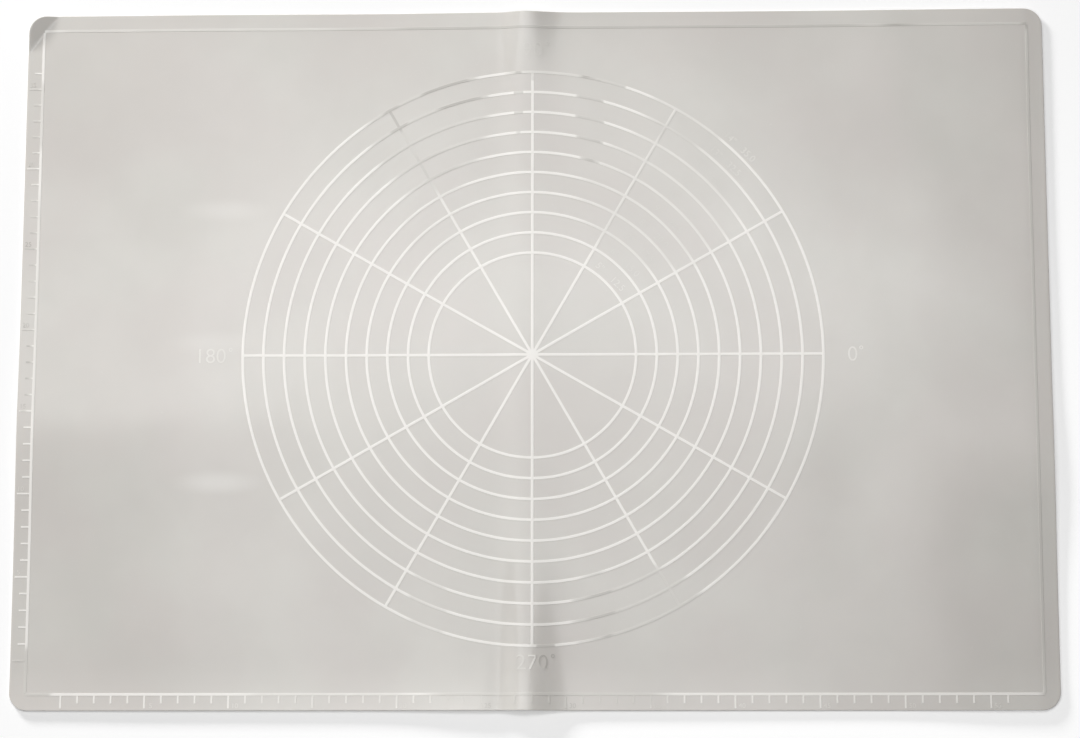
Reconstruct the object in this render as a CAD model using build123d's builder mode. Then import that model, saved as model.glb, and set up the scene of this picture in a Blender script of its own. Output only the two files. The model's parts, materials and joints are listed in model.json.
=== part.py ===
from build123d import *
import os
from math import atan2, cos, sin

# Silicone baking mat lying face up: a thin sheet with a low fold ridge across its middle,
# and a measuring print of rings, angle spokes, a frame line and two centimetre rulers.
# X runs along the mat, Y across it, Z up. The origin is under the middle of the mat.

# Sheet
mat_length = 622.0
mat_width = 426.0
mat_thickness = 1.0
corner_radius = 11.0

# Fold ridge, which runs along Y beside the middle of the mat
ridge_height = 6.0
ridge_half_width = 28.0
crest_x = -1.5
fold_gap = 0.3
fold_clearance = 0.2

# Print in general
print_thickness = 0.1
print_clearance = 0.01
line_width = 1.6

# Frame line, measured from the mat's edge to the middle of the line
frame_inset = 9.6

# Measuring rings, which go on for as long as they keep this far inside the frame line, and angle spokes
first_ring_diameter = 125.0
ring_diameter_step = 25.0
ring_margin = 20.0
spoke_count = 12
spoke_gap = 0.05

# Centimetre rulers, which keep this far from the frame line's corners and whose ticks point outwards
tick_pitch = 10.0
ticks_per_major = 5
tick_width = 1.0
minor_tick_length = 4.5
major_tick_length = 7.5
ruler_margin = 20.0

# How far cutting shapes run past what they cut
overrun = 10.0

# The ridge's cross-section has two equal arcs on each side of the crest, a hollow one at the foot and
# a round one at the crest, which meet halfway up, where the slope is steepest
steepest_angle = 2 * atan2(ridge_height, ridge_half_width)
ridge_radius = ridge_half_width / 2 / sin(steepest_angle)
print_underside = mat_thickness + print_clearance
print_top = print_underside + print_thickness
fold_axis_height = ridge_height + print_top + fold_clearance

frame_length = mat_length - 2 * frame_inset
frame_width = mat_width - 2 * frame_inset
largest_ring_room = min(frame_length, frame_width) - 2 * ring_margin
ring_count = 1 + int((largest_ring_room - first_ring_diameter) / ring_diameter_step)
ring_radii = [(first_ring_diameter + i * ring_diameter_step) / 2 for i in range(ring_count)]
sides = {"left": -1, "right": 1}

os.makedirs("parts", exist_ok=True)


def section_points(side, lift):
    """Where the cross-section turns on one side of the crest, at a height above the mat's underside."""
    end_x = side * (mat_length / 2 + overrun)
    foot_x = crest_x + side * ridge_half_width
    hollow_radius = ridge_radius - lift
    halfway_x = foot_x - side * hollow_radius * sin(steepest_angle)
    halfway_z = ridge_radius - hollow_radius * cos(steepest_angle)
    return (end_x, lift), (foot_x, lift), (halfway_x, halfway_z), (crest_x, ridge_height + lift)


def mat_layer(low, high):
    """A layer across the whole mat and over the ridge, between two heights above the mat's underside."""
    with BuildPart() as layer:
        with BuildSketch(Plane.XZ):
            with BuildLine():
                for side in sides.values():
                    for lift in (low, high):
                        end, foot, halfway, crest = section_points(side, lift)
                        Line(end, foot)
                        TangentArc(foot, halfway, tangent=(-side, 0))
                        TangentArc(crest, halfway, tangent=(side, 0))
                    Line(section_points(side, low)[0], section_points(side, high)[0])
            make_face()
        extrude(amount=mat_width / 2 + overrun, both=True)
    return layer.part


def half_plan(side):
    """The plan of everything on one side of the fold."""
    reach = mat_length + overrun
    with BuildSketch() as plan:
        with Locations((crest_x + side * (fold_gap + reach) / 2, 0)):
            Rectangle(reach, mat_width + 2 * overrun)
    return plan.sketch


def write_half(plan, layer, side_name, name):
    """Cut one half of a piece out of its layer by the plan of the whole piece, and write it."""
    with BuildPart() as half:
        with BuildSketch():
            add(plan)
            add(half_plan(sides[side_name]), mode=Mode.INTERSECT)
        extrude(amount=fold_axis_height)
        add(layer, mode=Mode.INTERSECT)
    half.part.label = f"{name}_{side_name}"
    export_step(half.part, f"parts/{half.part.label}.step")


def ruler_ticks(frame_side):
    """Where each tick of a ruler beside this side of the frame line stands, and its length."""
    count = 1 + int((frame_side - 2 * ruler_margin) / tick_pitch)
    lengths = [minor_tick_length if i % ticks_per_major else major_tick_length for i in range(count)]
    return [(i * tick_pitch, length) for i, length in enumerate(lengths)]


sheet_layer = mat_layer(0, mat_thickness)
print_layer = mat_layer(print_underside, print_top)

# The sheet itself
with BuildSketch() as mat_plan:
    RectangleRounded(mat_length, mat_width, corner_radius)

# The frame line round the working area
with BuildSketch() as frame_plan:
    Rectangle(frame_length + line_width, frame_width + line_width)
    Rectangle(frame_length - line_width, frame_width - line_width, mode=Mode.SUBTRACT)

# The measuring rings, from the largest to the smallest
with BuildSketch() as ring_plan:
    for radius in reversed(ring_radii):
        Circle(radius + line_width / 2)
        Circle(radius - line_width / 2, mode=Mode.SUBTRACT)

# The angle spokes, from the centre to the largest ring, in straight spans that stop just short of each ring
with BuildSketch() as spoke_plan:
    span_start = 0
    for radius in ring_radii:
        span_end = radius - line_width / 2 - spoke_gap
        with PolarLocations((span_start + span_end) / 2, spoke_count):
            Rectangle(span_end - span_start, line_width)
        span_start = radius + line_width / 2 + spoke_gap

# The ruler under the frame line, centred on the mat
with BuildSketch() as bottom_ruler_plan:
    bottom_ticks = ruler_ticks(frame_length)
    bottom_ruler_length = bottom_ticks[-1][0]
    for place, length in bottom_ticks:
        with Locations((place - bottom_ruler_length / 2, -(frame_width + line_width) / 2)):
            Rectangle(tick_width, length, align=(Align.CENTER, Align.MAX))

# The ruler to the left of the frame line, which starts near its lower corner
with BuildSketch() as side_ruler_plan:
    for place, length in ruler_ticks(frame_width):
        with Locations((-(frame_length + line_width) / 2, ruler_margin + place - frame_width / 2)):
            Rectangle(length, tick_width, align=(Align.MAX, Align.CENTER))

# Each piece that the fold crosses is made in two halves
for side_name in sides:
    write_half(mat_plan.sketch, sheet_layer, side_name, "mat")
    write_half(frame_plan.sketch, print_layer, side_name, "frame_line")
    write_half(ring_plan.sketch, print_layer, side_name, "measuring_rings")
    write_half(spoke_plan.sketch, print_layer, side_name, "angle_spokes")
    write_half(bottom_ruler_plan.sketch, print_layer, side_name, "bottom_ruler")
write_half(side_ruler_plan.sketch, print_layer, "left", "side_ruler")
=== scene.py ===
import json
from math import asin, ceil, cos, hypot, pi, radians, sin, tan

import bmesh
import bpy
import numpy as np
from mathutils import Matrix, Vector


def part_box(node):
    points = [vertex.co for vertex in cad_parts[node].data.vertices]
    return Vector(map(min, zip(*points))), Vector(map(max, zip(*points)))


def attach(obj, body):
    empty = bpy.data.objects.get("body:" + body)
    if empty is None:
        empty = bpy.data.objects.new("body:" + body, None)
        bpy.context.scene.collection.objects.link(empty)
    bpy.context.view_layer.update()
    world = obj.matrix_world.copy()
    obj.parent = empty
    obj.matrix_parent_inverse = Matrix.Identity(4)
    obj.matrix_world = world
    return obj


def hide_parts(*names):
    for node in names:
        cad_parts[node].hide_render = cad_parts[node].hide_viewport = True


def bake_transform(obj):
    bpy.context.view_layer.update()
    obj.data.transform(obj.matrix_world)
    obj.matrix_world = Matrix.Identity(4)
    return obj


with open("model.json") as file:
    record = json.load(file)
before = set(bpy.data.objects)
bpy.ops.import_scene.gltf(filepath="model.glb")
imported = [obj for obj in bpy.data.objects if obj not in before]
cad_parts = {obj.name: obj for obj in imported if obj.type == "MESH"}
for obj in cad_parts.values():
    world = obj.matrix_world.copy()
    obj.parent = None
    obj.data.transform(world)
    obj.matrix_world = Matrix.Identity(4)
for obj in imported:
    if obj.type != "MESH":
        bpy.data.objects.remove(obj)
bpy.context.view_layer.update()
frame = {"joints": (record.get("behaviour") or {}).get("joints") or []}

# Silicone baking mat, lying face up, with a low fold ridge across its middle and a measuring print.
# Metres everywhere, except where a name ends in mm. A flat place is a point of the mat before it was laid:
# u along the mat, v across it, and the height above the mat's underside.
mm = 0.001

# Sizes that the frame holds
mat_low, mat_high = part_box("mat_left")[0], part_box("mat_right")[1]
mat_length = mat_high.x - mat_low.x
mat_width = mat_high.y - mat_low.y
print_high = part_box("side_ruler_left")[1].z
frame_line_low, frame_line_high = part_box("frame_line_left")[0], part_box("frame_line_right")[1]
ring_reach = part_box("measuring_rings_right")[1].x
crest_x = frame["joints"][0]["pos_m"][0]

# Sheet
sheet_thickness = 1 * mm
corner_radius = 11 * mm
rim_radius = 0.3 * mm

# The sheet's grid: its steps where the mat is flat, over the fold ridge, in the bent corner and at the edges
flat_step = 6 * mm
ridge_step = 1.8 * mm
edge_step = 1.5 * mm
round_corner_step = 1.2 * mm
rim_steps = 12
ridge_from = -50 * mm
ridge_to = 36 * mm
fine_edge = 12 * mm
fine_corner_along = 34 * mm
fine_corner_across = 44 * mm

# Print
line_width = 1.6 * mm
ink_root = 0.05 * mm
ink_shoulder = 0.06 * mm
stroke_step = 2 * mm
crease_angle = radians(35)
first_ring_radius = 62.5 * mm
ring_step = 12.5 * mm
ring_radius = ring_reach - line_width / 2
ring_count = 1 + round((ring_radius - first_ring_radius) / ring_step)
spoke_count = 12
tick_width = 1 * mm
tick_pitch = 10 * mm
ticks_per_major = 5
minor_tick_length = 4.5 * mm
major_tick_length = 7.5 * mm
ruler_margin = 20 * mm
digit_share = 0.7
digit_thinning = 0.012
longest_digit_edge = 1.6 * mm
angle_number_height = 9 * mm
ring_number_height = 4.2 * mm
ring_number_gap = 4.6 * mm
ruler_number_height = 2.9 * mm
degree_mark_radius = 0.9 * mm

# Fold ridge: its crest's height at the near edge, at the far edge and between them, and how far it spreads
ridge_near_height = 6 * mm
ridge_far_height = 4.5 * mm
ridge_middle_height = 0.8 * mm
ridge_near_fading = 3
ridge_far_fading = 6
ridge_shift = -4 * mm
ridge_left_spread = 8 * mm
ridge_right_spread = 12 * mm

# Lower swelling to the left of the ridge, which shows only near the mat's edges
swelling_near_height = 2.4 * mm
swelling_far_height = 0.9 * mm
swelling_fading = 4
swelling_x = -29 * mm
swelling_left_spread = 28 * mm
swelling_right_spread = 6.5 * mm

# Bent-up corner at the far left: where its bend meets the two edges, measured from the square corner
corner_bend_along = 20 * mm
corner_bend_across = 25 * mm
corner_bend_radius = 4.5 * mm
corner_bend_angle = radians(24)

# Near edge, which curls up, and right end, which stands a little off the table and droops at its edge,
# though hardly in the middle of that edge
curl_height = 1.7 * mm
curl_reach = 26 * mm
curl_power = 1.7
curl_mean_share = 0.7
curl_share_swing = 0.3
curl_highest_x = -155 * mm
curl_repeat = 900 * mm
end_lift = 1.3 * mm
end_lift_reach = 130 * mm
end_droop = 0.5 * mm
end_droop_reach = 14 * mm
end_flat_y = 12 * mm
end_flat_spread = 55 * mm
end_flat_share = 0.9

# Gentle buckles across the two ends: how high, how far from the middle line, how far they spread, where they
# start, and the length over which they rise
left_buckle_height = 2.2 * mm
left_buckle_y = -48 * mm
left_buckle_spread = 32 * mm
left_buckle_start = -110 * mm
left_buckle_run = 110 * mm
right_buckle_height = 1.5 * mm
right_buckle_y = -74 * mm
right_buckle_spread = 30 * mm
right_buckle_start = 180 * mm
right_buckle_run = 90 * mm

# Low waves over the whole mat, long ones everywhere and shorter ones at the right
long_wave_height = 0.3 * mm
long_wave_along = 230 * mm
long_wave_across = 190 * mm
short_wave_height = 0.12 * mm
short_wave_along = 97 * mm
short_wave_start = 150 * mm
short_wave_run = 100 * mm
calm_corner_reach = 80 * mm

# Camera, as a position and a turn, and the lens for a 36 mm wide sensor
camera_place = (0.0502, -0.2632, 1.6235)
camera_turn = (radians(8.912), radians(1.605), radians(0.023))
camera_lens = 90.95

# How strongly the pale room lights the mat, where 1 is white
room_strength = 0.09

# Floor
floor_half_width = 3
floor_depth = 0.05 * mm


def soft_step(x):
    """0 below 0, 1 above 1, and a smooth rise between."""
    x = np.clip(x, 0, 1)
    return x * x * (3 - 2 * x)


def bulge(u, middle, left_spread, right_spread):
    """A bell shape, from 0 to 1, that may spread further on one side."""
    spread = np.where(u < middle, left_spread, right_spread)
    return np.exp(-((u - middle) ** 2) / (2 * spread**2))


def underside(u, v):
    """How high the mat's underside lies above the table."""
    share = np.minimum(np.abs(v) / (mat_width / 2), 1)
    near = v < 0
    end = np.where(near, ridge_near_height, ridge_far_height)
    fading = np.where(near, ridge_near_fading, ridge_far_fading)
    crest = ridge_middle_height + (end - ridge_middle_height) * share**fading
    ridge = crest * bulge(u, crest_x + ridge_shift, ridge_left_spread, ridge_right_spread)
    top = np.where(near, swelling_near_height, swelling_far_height) * share**swelling_fading
    swelling = top * bulge(u, swelling_x, swelling_left_spread, swelling_right_spread)
    return ridge + swelling + edge_lift(u, v) + buckles(u, v) + waves(u, v)


def edge_lift(u, v):
    """How far the near edge and the right end stand off the table."""
    curl = np.clip(1 - (v + mat_width / 2) / curl_reach, 0, 1) ** curl_power
    swing = np.cos(2 * pi * (u - curl_highest_x) / curl_repeat)
    curl_share = curl_mean_share + curl_share_swing * swing
    lift = soft_step((u - mat_length / 2 + end_lift_reach) / (end_lift_reach - end_droop_reach))
    droop = soft_step((u - mat_length / 2 + end_droop_reach) / end_droop_reach)
    droop = droop * (1 - end_flat_share * bulge(v, end_flat_y, end_flat_spread, end_flat_spread))
    return curl_height * curl_share * curl + end_lift * lift - end_droop * droop


def buckles(u, v):
    """A gentle buckle across each end of the mat, which fades towards the middle."""
    left = bulge(v, left_buckle_y, left_buckle_spread, left_buckle_spread)
    left = left * soft_step((left_buckle_start - u) / left_buckle_run)
    right = bulge(v, right_buckle_y, right_buckle_spread, right_buckle_spread)
    right = right * soft_step((u - right_buckle_start) / right_buckle_run)
    return left_buckle_height * left + right_buckle_height * right


def waves(u, v):
    """Low, long waves over the whole mat, which leave the bent corner flat."""
    calm = soft_step((u + mat_length / 2) / calm_corner_reach - 0.3)
    long_wave = 1 + np.sin(2 * pi * u / long_wave_along + 0.9) * np.sin(2 * pi * v / long_wave_across + 0.5)
    short_wave = 1 + np.sin(2 * pi * (u + 0.4 * v) / short_wave_along + 2.1)
    right = soft_step((u - short_wave_start) / short_wave_run)
    return calm * (long_wave_height * long_wave + short_wave_height * right * short_wave)


def laid(flat):
    """Where flat places end up on the laid mat."""
    u, v, height = np.asarray(flat, float).reshape(-1, 3).T
    probe = 0.2 * mm
    slope_x = (underside(u + probe, v) - underside(u - probe, v)) / (2 * probe)
    slope_y = (underside(u, v + probe) - underside(u, v - probe)) / (2 * probe)
    upright = 1 / np.sqrt(1 + slope_x**2 + slope_y**2)
    bend_length = hypot(corner_bend_along, corner_bend_across)
    out_x, out_y = -corner_bend_across / bend_length, corner_bend_along / bend_length
    past = (u + mat_length / 2 - corner_bend_along) * out_x + (v - mat_width / 2) * out_y
    past = np.maximum(past, 0)
    angle = np.minimum(past / corner_bend_radius, corner_bend_angle)
    straight = past - angle * corner_bend_radius
    reach = corner_bend_radius * np.sin(angle) + straight * np.cos(angle)
    lift = corner_bend_radius * (1 - np.cos(angle)) + straight * np.sin(angle)
    normal_x = -slope_x * upright - np.sin(angle) * out_x
    normal_y = -slope_y * upright - np.sin(angle) * out_y
    normal_z = upright * np.cos(angle)
    x = u + (reach - past) * out_x + height * normal_x
    y = v + (reach - past) * out_y + height * normal_y
    z = underside(u, v) + lift + height * normal_z
    return np.stack([x, y, z], 1)


class Wire:
    """A value or colour that runs through a finish's nodes. Python's operators add the Math nodes."""

    def __init__(self, finish, socket):
        self.finish = finish
        self.socket = socket

    def math(self, operation, first, second):
        return self.finish.node("Math", {"operation": operation}, {0: first, 1: second})

    def __add__(self, other):
        return self.math("ADD", self, other)

    def __radd__(self, other):
        return self.math("ADD", other, self)

    def __sub__(self, other):
        return self.math("SUBTRACT", self, other)

    def __rsub__(self, other):
        return self.math("SUBTRACT", other, self)

    def __mul__(self, other):
        return self.math("MULTIPLY", self, other)

    def __rmul__(self, other):
        return self.math("MULTIPLY", other, self)


class Finish:
    """The nodes of a material or of the world."""

    def __init__(self, owner):
        owner.use_nodes = True
        self.owner = owner
        self.tree = owner.node_tree
        self.tree.nodes.clear()

    def node(self, kind, settings=None, inputs=None, output=0):
        """Adds one node: its settings are made first, and then its sockets get their values or links."""
        made = self.tree.nodes.new("ShaderNode" + kind)
        for name, setting in (settings or {}).items():
            setattr(made, name, setting)
        for name, value in (inputs or {}).items():
            if isinstance(value, Wire):
                self.tree.links.new(value.socket, made.inputs[name])
            else:
                made.inputs[name].default_value = value
        return None if output is None else Wire(self, made.outputs[output])

    def flat_place(self):
        """The flat place in millimetres, which stays with the mat when it folds."""
        return self.node("Attribute", {"attribute_name": "flat_place_mm"}, output="Vector")

    def noise(self, place, size_mm, detail=2.0, roughness=0.5):
        """Noise from 0 to 1 with features of about this size."""
        values = {"Vector": place, "Scale": 1 / size_mm, "Detail": detail, "Roughness": roughness}
        return self.node("TexNoise", {}, values)

    def rise(self, value, low, high):
        """0 where the value is below low, 1 where it is past high, and smooth between."""
        settings = {"interpolation_type": "SMOOTHSTEP"}
        return self.node("MapRange", settings, {"Value": value, "From Min": low, "From Max": high})

    def mix(self, share, first, second):
        """A colour between two colours."""
        return self.node("Mix", {"data_type": "RGBA"}, {0: share, 6: first, 7: second}, output=2)

    def patch(self, place, x, y, half_x, half_y, softness):
        """1 inside a soft-edged ellipse of the flat mat, 0 outside it. Sizes in millimetres."""
        moved = self.node("VectorMath", {"operation": "SUBTRACT"}, {0: place, 1: (x, y, 0)})
        shares = (1 / half_x, 1 / half_y, 0)
        scaled = self.node("VectorMath", {"operation": "MULTIPLY"}, {0: moved, 1: shares})
        distance = self.node("VectorMath", {"operation": "LENGTH"}, {0: scaled}, output="Value")
        return self.rise(distance, 1 + softness, 1 - softness)

    def surface(self, inputs):
        """Ends the finish in a Principled shader with these sockets."""
        return self.finished(self.node("BsdfPrincipled", {}, inputs))

    def finished(self, shader):
        """Joins a shader to the material's output, and gives the material."""
        self.node("OutputMaterial", {}, {"Surface": shader}, output=None)
        return self.owner


def paint(red, green, blue):
    """A colour from the 0 to 255 values that it shows on a screen."""
    shares = [value / 255 for value in (red, green, blue)]
    linear = [share / 12.92 if share <= 0.04045 else ((share + 0.055) / 1.055) ** 2.4 for share in shares]
    return (*linear, 1)


def silicone():
    """Smooth pale grey silicone, with cloudy tone, three painted highlights, dust and a fine moulded grain.
    """
    finish = Finish(bpy.data.materials.new("pale_grey_silicone"))
    place = finish.flat_place()
    clouds = finish.noise(place, 55, detail=3)
    tint = finish.noise(place, 90, detail=2)
    # Painted highlights: three lighter streaks at the left stand in for reflections of small lamps in the
    # sheet
    painted_highlights = 0
    for x, y, strength in ((-186, 90, 0.45), (-193, 8, 0.3), (-189, -77, 0.75)):
        painted_highlights = painted_highlights + finish.patch(place, x, y, 18, 5, softness=0.8) * strength
    base = finish.mix(finish.rise(clouds, 0.3, 0.7), paint(217, 214, 208), paint(222, 219, 213))
    base = finish.mix(finish.rise(tint, 0.35, 0.65) * 0.35, base, paint(216, 208, 204))
    base = finish.mix(painted_highlights, base, paint(234, 231, 226))
    dust = finish.rise(finish.noise(place, 1.6, detail=1), 0.76, 0.8)
    base = finish.mix(dust * 0.2, base, paint(236, 234, 230))
    handling = finish.noise(place, 30, detail=4, roughness=0.6)
    grain = finish.noise(place, 0.5, detail=2)
    ripple = finish.noise(place, 14, detail=1)
    height = grain * 0.004 + ripple * 0.02
    bump = finish.node("Bump", {}, {"Strength": 0.35, "Distance": 1 * mm, "Height": height})
    return finish.surface(
        {
            "Base Color": base,
            "Roughness": 0.13 + 0.08 * handling,
            "Normal": bump,
            "IOR": 1.41,
            "Subsurface Weight": 0.1,
            "Subsurface Radius": (1.0, 0.9, 0.8),
            "Subsurface Scale": 1 * mm,
        }
    )


def ink(name, wear):
    """White silicone ink, duller by its wear and unevenly so at random, with painted reflection and shade:
    greyer, even darker than the sheet, where the sheet's sheen outshines it, and whiter where the sheet
    mirrors little light.
    """
    finish = Finish(bpy.data.materials.new(name))
    place = finish.flat_place()
    # Painted reflection and shade. Each patch in mm: its middle, its half widths, and how much whiter or
    # greyer the ink is painted there: greyer where the sheet's sheen outshines the ink, whiter where the
    # sheet mirrors little light
    painted_light_patches = (
        (-110, 70, 110, 120, -0.15),
        (110, -110, 110, 90, 0.3),
        (75, 95, 50, 45, -0.5),
        (98, 148, 30, 20, -0.5),
        (35, 147, 8.5, 32, -1.3),
        (49, 168, 9, 6, -0.9),
        (10, 174, 26, 5, -0.6),
        (-8.5, 158, 3, 22, -0.9),
        (-64, 146, 36, 44, -0.95),
        (-48, 162, 20, 11, -0.7),
        (-84, 146, 8, 9, -0.5),
        (-60, 95, 20, 34, -0.25),
        (36, -155, 14, 26, -0.7),
        (66, -152, 38, 26, -1.15),
        (8, -179, 6, 10, -1.2),
        (-7, -185, 3.5, 6, -0.2),
        (0, -185, 3, 6, 0.4),
        (-62, -150, 12, 26, -0.5),
        (-200, 203, 100, 8, -0.7),
        (60, 203, 160, 8, -1.5),
        (260, 203, 45, 8, -1.1),
        (302, 0, 8, 205, -1.35),
        (-120, -206, 50, 10, -0.45),
        (10, -206, 72, 10, -1.0),
        (-303, 30, 10, 70, -0.45),
        (-303, 150, 10, 22, -0.6),
        (-308, 80, 5, 130, -0.5),
        (-308, 64, 5, 20, -0.5),
        (-308, -8, 5, 24, -0.7),
        (-300, -198, 14, 22, -1.1),
        (0, 189.5, 18, 7, -0.45),
    )
    tone = 1 - wear + 0.3 * (finish.noise(place, 22, detail=2) - 0.5)
    for x, y, half_x, half_y, change in painted_light_patches:
        tone = tone + finish.patch(place, x, y, half_x, half_y, softness=0.2) * change
    ink_colour = finish.mix(finish.rise(tone, 0, 1), paint(221, 218, 212), paint(253, 250, 245))
    # Below 0 the ink is painted darker than the sheet, a painted shade where the sheet's sheen outshines the
    # ink
    ink_colour = finish.mix(finish.rise(tone, 0, -1), ink_colour, paint(190, 186, 180))
    grain = finish.noise(place, 0.4, detail=2)
    bump = finish.node("Bump", {}, {"Strength": 0.3, "Distance": 1 * mm, "Height": grain * 0.004})
    return finish.surface({"Base Color": ink_colour, "Roughness": 0.2, "Normal": bump, "IOR": 1.41})


class Shape:
    """Corners at flat places, and the faces between them."""

    def __init__(self):
        self.places = []
        self.faces = []

    def add(self, places, faces):
        first = len(self.places)
        self.places.extend(places)
        self.faces.extend([first + i for i in face] for face in faces)

    def stroke(self, line, width, closed=False):
        """A printed line along flat points, with a low rounded top, sunk a little into the sheet."""
        line = np.array(line, float)
        if closed:
            ahead, behind = np.roll(line, -1, 0), np.roll(line, 1, 0)
        else:
            ahead, behind = np.vstack([line[1:], line[-1:]]), np.vstack([line[:1], line[:-1]])
        along = ahead - behind
        along /= np.linalg.norm(along, axis=1)[:, None]
        across = np.stack([along[:, 1], -along[:, 0]], 1)
        top = print_high - sheet_thickness
        half = width / 2
        section = [(half, -ink_root), (half, top * 0.55), (half - ink_shoulder, top)]
        section = section + [(-offset, height) for offset, height in reversed(section)]
        corners = len(section)
        places = [
            (*(point + side * offset), sheet_thickness + height)
            for point, side in zip(line, across)
            for offset, height in section
        ]
        last = len(line) if closed else len(line) - 1
        faces = []
        for i in range(last):
            here, there = i * corners, (i + 1) % len(line) * corners
            for j in range(corners):
                k = (j + 1) % corners
                faces.append((here + j, here + k, there + k, there + j))
        if not closed:
            end = (len(line) - 1) * corners
            faces.append(range(corners - 1, -1, -1))
            faces.append(range(end, end + corners))
        self.add(places, faces)

    def straight(self, start, end, width):
        """A stroke between two flat points."""
        start, end = np.array(start, float), np.array(end, float)
        steps = max(1, ceil(np.linalg.norm(end - start) / stroke_step))
        self.stroke([start + (end - start) * i / steps for i in range(steps + 1)], width)

    def piece(self, name, finish, slot, replaced):
        """Lays the shape down over the fold ridge as a Blender piece, which stands for the CAD nodes."""
        mesh = bpy.data.meshes.new(name)
        mesh.from_pydata(laid(self.places).tolist(), [], [list(face) for face in self.faces])
        flat = mesh.attributes.new("flat_place_mm", "FLOAT_VECTOR", "POINT")
        flat.data.foreach_set("vector", (np.array(self.places) / mm).astype(np.float32).ravel())
        merge_and_face_out(mesh)
        mesh.shade_smooth()
        mesh.set_sharp_from_angle(angle=crease_angle)
        mesh.materials.append(finish)
        made = bpy.data.objects.new(name, mesh)
        bpy.context.scene.collection.objects.link(made)
        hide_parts(*replaced)
        return made


def merge_and_face_out(mesh):
    """Joins corners that coincide, and turns every face outwards."""
    shape = bmesh.new()
    shape.from_mesh(mesh)
    bmesh.ops.remove_doubles(shape, verts=shape.verts, dist=0.002 * mm)
    bmesh.ops.recalc_face_normals(shape, faces=shape.faces)
    shape.to_mesh(mesh)
    shape.free()


def graded(*stretches):
    """Numbers from stretches of (start, end, largest step), which follow on from each other."""
    found = [stretches[0][0]]
    for start, end, step in stretches:
        steps = ceil((end - start) / step)
        found.extend(start + (end - start) * i / steps for i in range(1, steps + 1))
    return np.array(found)


def sheet():
    """The silicone sheet: a grid in the rounded outline, above and below, joined by a rounded rim."""
    radius = corner_radius - rim_radius
    straight_x = mat_length / 2 - corner_radius
    straight_y = mat_width / 2 - corner_radius
    bend_x = -mat_length / 2 + fine_corner_along
    bend_y = mat_width / 2 - fine_corner_across
    columns = graded(
        (-straight_x - radius, -straight_x, round_corner_step),
        (-straight_x, bend_x, edge_step),
        (bend_x, ridge_from, flat_step),
        (ridge_from, ridge_to, ridge_step),
        (ridge_to, straight_x - fine_edge, flat_step),
        (straight_x - fine_edge, straight_x + radius, edge_step),
    )
    turns = np.linspace(pi / 2, 0, rim_steps)
    near_rows = -straight_y - radius * np.sin(turns)
    far_rows = straight_y + radius * np.sin(turns[::-1])
    middle_rows = graded(
        (-straight_y, -straight_y + fine_edge, edge_step),
        (-straight_y + fine_edge, bend_y, flat_step),
        (bend_y, straight_y, edge_step),
    )
    rows = [*near_rows, *middle_rows[1:-1], *far_rows]
    grid = np.zeros((len(rows), len(columns), 2))
    for i, v in enumerate(rows):
        past = min(1, max(0, abs(v) - straight_y) / radius)
        shrink = cos(asin(past))
        over = np.maximum(np.abs(columns) - straight_x, 0)
        grid[i, :, 0] = np.sign(columns) * (np.abs(columns) - over * (1 - shrink))
        grid[i, :, 1] = v
    rim = [(0, j) for j in range(len(columns))]
    rim += [(i, len(columns) - 1) for i in range(1, len(rows))]
    rim += [(len(rows) - 1, j) for j in range(len(columns) - 2, -1, -1)]
    rim += [(i, 0) for i in range(len(rows) - 2, 0, -1)]
    shape = Shape()
    cells = [(i, j) for i in range(len(rows) - 1) for j in range(len(columns) - 1)]

    def corner(i, j):
        return i * len(columns) + j

    for height in (sheet_thickness, 0):
        faces = [(corner(i, j), corner(i, j + 1), corner(i + 1, j + 1), corner(i + 1, j)) for i, j in cells]
        shape.add([(u, v, height) for u, v in grid.reshape(-1, 2)], faces)
    edge = np.array([grid[i, j] for i, j in rim])
    middle = np.clip(edge, (-straight_x, -straight_y), (straight_x, straight_y))
    outward = (edge - middle) / np.linalg.norm(edge - middle, axis=1)[:, None]
    loops = []
    for turn in np.linspace(0, pi, 9):
        out = corner_radius - rim_radius * (1 - sin(turn))
        height = sheet_thickness / 2 + cos(turn) * rim_radius
        height += (sheet_thickness / 2 - rim_radius) * (1 if turn < pi / 2 else -1)
        loops.append([(*place, height) for place in middle + outward * out])
    half_turn = len(loops) // 2
    loops[half_turn:half_turn + 1] = [
        [(u, v, sheet_thickness - rim_radius) for u, v, _ in loops[half_turn]],
        [(u, v, rim_radius) for u, v, _ in loops[half_turn]],
    ]
    count = len(edge)
    faces = [
        (k * count + i, k * count + (i + 1) % count, (k + 1) * count + (i + 1) % count, (k + 1) * count + i)
        for k in range(len(loops) - 1)
        for i in range(count)
    ]
    shape.add([place for loop in loops for place in loop], faces)
    return shape


def circle(radius):
    """Flat points round the mat's middle."""
    count = ceil(2 * pi * radius / stroke_step)
    return [(radius * cos(2 * pi * i / count), radius * sin(2 * pi * i / count)) for i in range(count)]


def measuring_rings():
    """The rings, from the smallest to the largest."""
    shape = Shape()
    for i in range(ring_count):
        shape.stroke(circle(first_ring_radius + i * ring_step), line_width, closed=True)
    return shape


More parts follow.
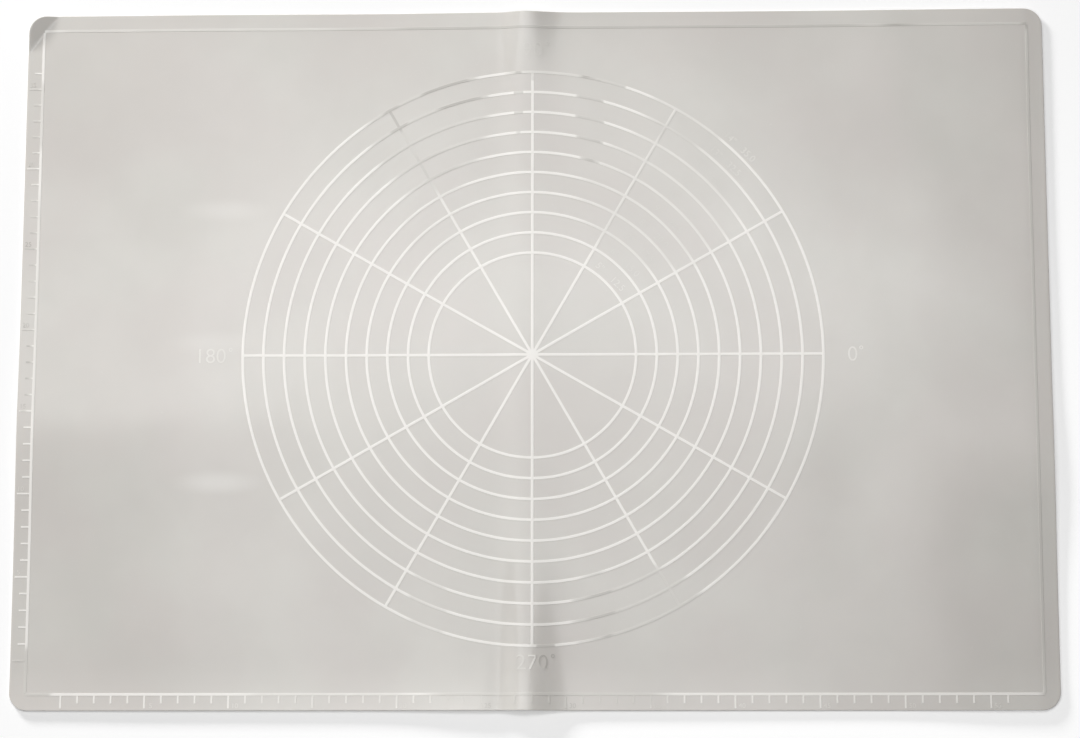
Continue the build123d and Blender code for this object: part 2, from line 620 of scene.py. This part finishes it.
def angle_spokes():
    """The spokes, which meet in a small twelve-sided middle and are broken where they cross a ring."""
    shape = Shape()
    middle_radius = line_width / 2 / sin(pi / spoke_count)
    spoke_start = line_width / 2 / tan(pi / spoke_count)
    rim = [pi / spoke_count * (2 * i + 1) for i in range(spoke_count)]
    top = print_high
    places = [(middle_radius * cos(a), middle_radius * sin(a), top) for a in rim]
    places += [(middle_radius * cos(a), middle_radius * sin(a), sheet_thickness - ink_root) for a in rim]
    following = [(i + 1) % spoke_count for i in range(spoke_count)]
    sides = [(i, spoke_count + i, spoke_count + k, k) for i, k in enumerate(following)]
    shape.add(places, [range(spoke_count), range(2 * spoke_count - 1, spoke_count - 1, -1), *sides])
    for i in range(spoke_count):
        angle = 2 * pi * i / spoke_count
        start = spoke_start
        for k in range(ring_count):
            radius = first_ring_radius + k * ring_step
            end = radius - line_width / 2
            ends = [(reach * cos(angle), reach * sin(angle)) for reach in (start, end)]
            shape.straight(*ends, line_width)
            start = radius + line_width / 2
    return shape


def frame_line():
    """The line round the working area."""
    half_x = (frame_line_high.x - frame_line_low.x - line_width) / 2
    half_y = (frame_line_high.y - frame_line_low.y - line_width) / 2
    shape = Shape()
    for side in (-1, 1):
        shape.straight((-half_x, side * half_y), (half_x, side * half_y), line_width)
        inner = half_y - line_width / 2
        shape.straight((side * half_x, -inner), (side * half_x, inner), line_width)
    return shape


def ruler_ticks(frame_side):
    """Each tick's place along a ruler beside this side of the frame line, its length and its centimetres."""
    count = 1 + int((frame_side - 2 * ruler_margin) / tick_pitch)
    lengths = [minor_tick_length if i % ticks_per_major else major_tick_length for i in range(count)]
    return [(i * tick_pitch, length, i) for i, length in enumerate(lengths)]


def bottom_ticks():
    """The near ruler's ticks, as (x, y of the frame line's outer edge, length, number)."""
    ticks = ruler_ticks(frame_line_high.x - frame_line_low.x - line_width)
    length = ticks[-1][0]
    return [(place - length / 2, frame_line_low.y, tick, number) for place, tick, number in ticks]


def side_ticks():
    """The left ruler's ticks, as (x of the frame line's outer edge, y, length, number)."""
    ticks = ruler_ticks(frame_line_high.y - frame_line_low.y - line_width)
    start = frame_line_low.y + line_width / 2 + ruler_margin
    return [(frame_line_low.x, start + place, tick, number) for place, tick, number in ticks]


def bottom_ruler():
    shape = Shape()
    for x, y, length, _ in bottom_ticks():
        shape.straight((x, y), (x, y - length), tick_width)
    return shape


def side_ruler():
    shape = Shape()
    for x, y, length, _ in side_ticks():
        shape.straight((x, y), (x - length, y), tick_width)
    return shape


def write(shape, words, middle, height, turn=0.0):
    """Adds printed numbers to a shape, centred on a flat point, with digits of this height."""
    curve = bpy.data.curves.new("numbers", "FONT")
    curve.body = words
    curve.align_x = "CENTER"
    curve.size = height / digit_share
    curve.offset = -digit_thinning * height
    curve.extrude = (print_high - sheet_thickness + ink_root) / 2
    text = bpy.data.objects.new("numbers", curve)
    bpy.context.scene.collection.objects.link(text)
    bpy.context.view_layer.update()
    evaluated = text.evaluated_get(bpy.context.evaluated_depsgraph_get())
    outline = bpy.data.meshes.new_from_object(evaluated)
    form = bmesh.new()
    form.from_mesh(outline)
    bmesh.ops.remove_doubles(form, verts=form.verts, dist=0.001 * mm)
    bmesh.ops.triangulate(form, faces=form.faces)
    for _ in range(3):
        long_edges = [edge for edge in form.edges if edge.calc_length() > longest_digit_edge]
        bmesh.ops.subdivide_edges(form, edges=long_edges, cuts=1)
        bmesh.ops.triangulate(form, faces=form.faces)
    form.verts.index_update()
    places = []
    for vertex in form.verts:
        x, y = vertex.co.x, vertex.co.y - height / 2
        lift = vertex.co.z + (print_high + sheet_thickness - ink_root) / 2
        turned = (x * cos(turn) - y * sin(turn), x * sin(turn) + y * cos(turn))
        places.append((middle[0] + turned[0], middle[1] + turned[1], lift))
    shape.add(places, [[vertex.index for vertex in face.verts] for face in form.faces])
    form.free()
    bpy.data.objects.remove(text)
    bpy.data.meshes.remove(outline)


def degree_mark(shape, middle, radius):
    """A small printed ring after an angle."""
    turns = [2 * pi * i / 14 for i in range(14)]
    line = [(middle[0] + radius * cos(a), middle[1] + radius * sin(a)) for a in turns]
    shape.stroke(line, 0.8 * radius, closed=True)


def angle_numbers():
    """The angles at the ends of the level and upright spokes."""
    shape = Shape()
    places = {"0": (192.5, 0), "90": (0, 189.5), "180": (-194.5, 0), "270": (0, -184.5)}
    for words, (x, y) in places.items():
        write(shape, words, (x * mm, y * mm), angle_number_height)
        half = (3.4 + 3.5 * (len(words) - 1)) * mm
        degree_mark(shape, (x * mm + half + 1.8 * mm, y * mm + 3.6 * mm), degree_mark_radius)
    return shape


def ring_size_numbers():
    """Each ring's size beside it on the slanting line up to the right, in inches and in centimetres."""
    shape = Shape()
    slant = pi / 4
    for i in range(ring_count):
        radius = first_ring_radius + i * ring_step + ring_number_gap
        inches = f'{i + 5}"'
        centimetres = f"{2 * (first_ring_radius + i * ring_step) * 100:.1f}"
        for words, shift in ((inches, -9 * mm), (centimetres, 6 * mm)):
            x = radius * cos(slant) + shift * sin(slant)
            y = radius * sin(slant) - shift * cos(slant)
            write(shape, words, (x, y), ring_number_height, turn=slant - pi / 2)
    return shape


def bottom_ruler_numbers():
    """The near ruler's numbers, to the right of each long tick's lower end."""
    shape = Shape()
    for x, y, length, number in bottom_ticks():
        if number and number % ticks_per_major == 0:
            place = (x + 3.9 * mm, y - length + 1.6 * mm)
            write(shape, str(number), place, ruler_number_height)
    return shape


def side_ruler_numbers():
    """The left ruler's numbers, above each long tick's outer end."""
    shape = Shape()
    for x, y, length, number in side_ticks():
        if number and number % ticks_per_major == 0:
            place = (x - length + 2.2 * mm, y + 2.9 * mm)
            write(shape, str(number), place, ruler_number_height)
    return shape


def lay_mat():
    """Makes every piece, laid over the fold ridge, and joins the left ruler, its numbers and the ring-size
    numbers to their halves.
    """
    silicone_finish = silicone()
    lines_ink = ink("white_silicone_ink", 0)
    numbers_ink = ink("worn_white_silicone_ink", 0.5)
    halves = ("left", "right")
    pieces = [sheet().piece("mat_sheet", silicone_finish, "silicone", ["mat_" + half for half in halves])]
    printed = {
        "frame_line": (frame_line(), ["frame_line_left", "frame_line_right"]),
        "measuring_rings": (measuring_rings(), ["measuring_rings_left", "measuring_rings_right"]),
        "angle_spokes": (angle_spokes(), ["angle_spokes_left", "angle_spokes_right"]),
        "bottom_ruler": (bottom_ruler(), ["bottom_ruler_left", "bottom_ruler_right"]),
        "bottom_ruler_numbers": (bottom_ruler_numbers(), []),
        "angle_numbers": (angle_numbers(), []),
        "side_ruler": (side_ruler(), ["side_ruler_left"]),
        "side_ruler_numbers": (side_ruler_numbers(), []),
        "ring_size_numbers": (ring_size_numbers(), []),
    }
    for name, (shape, replaced) in printed.items():
        finish = numbers_ink if name.endswith("numbers") else lines_ink
        pieces.append(shape.piece(name, finish, "print", replaced))
    for piece in pieces:
        if piece.name.startswith("side_ruler"):
            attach(piece, "left_half")
        elif piece.name == "ring_size_numbers":
            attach(piece, "right_half")
        else:
            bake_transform(piece)


def table_top():
    """A plain white floor, which glows a little where the studio light fades and keeps the mat's shadow."""
    mesh = bpy.data.meshes.new("floor")
    signs = ((-1, -1), (1, -1), (1, 1), (-1, 1))
    corners = [(x * floor_half_width, y * floor_half_width, -floor_depth) for x, y in signs]
    mesh.from_pydata(corners, [], [(0, 1, 2, 3)])
    floor = bpy.data.objects.new("floor", mesh)
    bpy.context.scene.collection.objects.link(floor)
    finish = Finish(bpy.data.materials.new("white_floor"))
    seen = finish.node("LightPath", output="Is Camera Ray")
    mirrored = finish.node("LightPath", output="Is Glossy Ray")
    place = finish.node("NewGeometry", output="Position")
    inputs = {0: place, 1: (0.8, -1, 0)}
    away = finish.node("VectorMath", {"operation": "DOT_PRODUCT"}, inputs, output="Value")
    distance = finish.node("VectorMath", {"operation": "LENGTH"}, {0: place}, output="Value")
    strength = 0.12 + 0.28 * finish.rise(away, -0.5, 0.6)
    strength = strength + 0.6 * finish.rise(distance, 0.6, 2.2)
    plain = finish.node("BsdfDiffuse", {}, {"Color": paint(250, 250, 250)})
    glow = finish.node("Emission", {}, {"Color": (1, 1, 1, 1), "Strength": (seen + mirrored) * strength})
    both = finish.node("AddShader", {}, {0: plain, 1: glow})
    mesh.materials.append(finish.finished(both))


def softbox(name, place, aim, size, power):
    """A rectangular studio light that faces a point: its size in metres, its power in watts."""
    light = bpy.data.lights.new(name, "AREA")
    light.shape = "RECTANGLE"
    light.size, light.size_y = size
    light.energy = power
    lamp = bpy.data.objects.new(name, light)
    lamp.location = place
    lamp.rotation_euler = (Vector(aim) - Vector(place)).to_track_quat("-Z", "Y").to_euler()
    lamp.visible_camera = False
    bpy.context.scene.collection.objects.link(lamp)
    return lamp


def studio():
    """Softboxes overhead, which the satin sheet mirrors, a low one at the far left, and a dim pale room."""
    softbox("overhead_softbox", (-0.07, 0.2, 1.45), (-0.07, 0.2, 0), (0.76, 0.8), 6.1)
    softbox("overhead_strip", (-0.15, 0.3, 1.44), (-0.15, 0.3, 0), (1.4, 0.2), 2.7)
    softbox("near_left_softbox", (-0.8, -0.5, 1.45), (-0.8, -0.5, 0), (0.4, 0.4), 3.3)
    far_left = softbox("low_far_left_softbox", (-1.57, 1.87, 0.65), (0, 0, 0), (0.6, 0.4), 60)
    far_left.visible_glossy = False
    world = bpy.data.worlds.new("room")
    room = Finish(world)
    seen = room.node("LightPath", output="Is Camera Ray")
    mirrored = room.node("LightPath", output="Is Glossy Ray")
    strength = room_strength + (1 - room_strength) * (seen + mirrored)
    glow = room.node("Background", {}, {"Color": (1, 1, 1, 1), "Strength": strength})
    room.node("OutputWorld", {}, {"Surface": glow}, output=None)
    bpy.context.scene.world = world


def camera():
    """The camera at the photograph's viewing angle, for a picture of 1080 by 738."""
    data = bpy.data.cameras.new("camera")
    data.lens = camera_lens
    data.sensor_width = 36
    made = bpy.data.objects.new("camera", data)
    made.location = camera_place
    made.rotation_euler = camera_turn
    bpy.context.scene.collection.objects.link(made)
    bpy.context.scene.camera = made


lay_mat()
table_top()
studio()
camera()
bpy.context.scene.view_settings.view_transform = "Standard"
